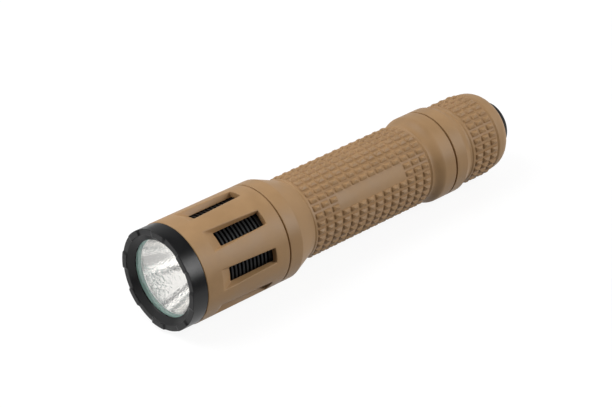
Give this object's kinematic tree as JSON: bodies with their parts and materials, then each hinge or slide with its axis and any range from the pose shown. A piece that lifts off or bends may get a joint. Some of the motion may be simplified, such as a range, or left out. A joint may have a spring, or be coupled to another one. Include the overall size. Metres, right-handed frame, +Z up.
{
  "type": "flashlight",
  "caption": "Hand-held polymer flashlight with a lobed bezel, slotted finned head, studded grip, screw-on tail cap and a push-button tail switch.",
  "frame": {"origin": "on the surface under the middle of the light, as it lies on its side", "axes": "+X along the beam, out of the lens; +Z up; the light's axis is one head radius above the origin"},
  "size_m": [0.142, 0.032, 0.032],
  "materials": {
    "tan_polymer": "matte",
    "black_anodised": "satin",
    "glass": "gloss",
    "teal_silicone": "satin",
    "reflector_metal": "polished",
    "white_plastic": "matte",
    "led_phosphor": "satin",
    "red_sleeve": "satin",
    "circuit_board": "satin",
    "copper": "satin",
    "black_plastic": "matte",
    "brass": "satin",
    "spring_steel": "satin",
    "aluminium": "satin",
    "cell_sleeve": "gloss",
    "black_rubber": "matte"
  },
  "bodies": {
    "light_body": {"bezel_ring": "black_anodised", "lens": "glass", "lens_gasket": "teal_silicone", "reflector": "reflector_metal", "led_spacer": "white_plastic", "led_emitter": "led_phosphor", "led_dome": "glass", "led_board": "white_plastic", "led_leads": "red_sleeve", "heat_sink": "black_anodised", "head_shell": "tan_polymer", "driver_board": "circuit_board", "driver_choke": "copper", "driver_parts": "black_plastic", "driver_ring": "brass", "head_spring": "spring_steel", "head_seal": "black_rubber", "body_shell": "tan_polymer", "battery_tube": "aluminium", "front_cell": "cell_sleeve", "front_cell_terminal": "spring_steel", "rear_cell": "cell_sleeve", "rear_cell_terminal": "spring_steel", "tail_seal": "black_rubber"},
    "tail_contact": {"tail_spring": "spring_steel"},
    "tail_cap": {"tail_cap": "tan_polymer", "tail_insert": "aluminium", "tail_ring": "brass", "switch_board": "circuit_board", "switch_contact": "brass", "switch_housing": "black_plastic", "switch_spring": "spring_steel"},
    "button": {"button": "black_rubber", "switch_plunger": "white_plastic"}
  },
  "joints": [
    {"name": "tail_cap_travel", "type": "slide", "parent": "light_body", "child": "tail_contact", "axis": [-1, 0, 0], "range_m": [0, 0.005]},
    {"name": "tail_cap_turn", "type": "hinge", "parent": "tail_contact", "child": "tail_cap", "pos_m": [-0.05368, 0, 0.016], "axis": [-1, 0, 0], "range_deg": [0, 1810]},
    {"name": "button_press", "type": "slide", "parent": "tail_cap", "child": "button", "axis": [1, 0, 0], "range_m": [0, 0.0025], "stiffness_N_per_m": 700, "springref_m": -0.001, "deforming": ["switch_spring"]}
  ],
  "couplings": [
    {"joint": "tail_cap_turn", "follows": "tail_cap_travel", "rad_per_m": 6283.2}
  ]
}
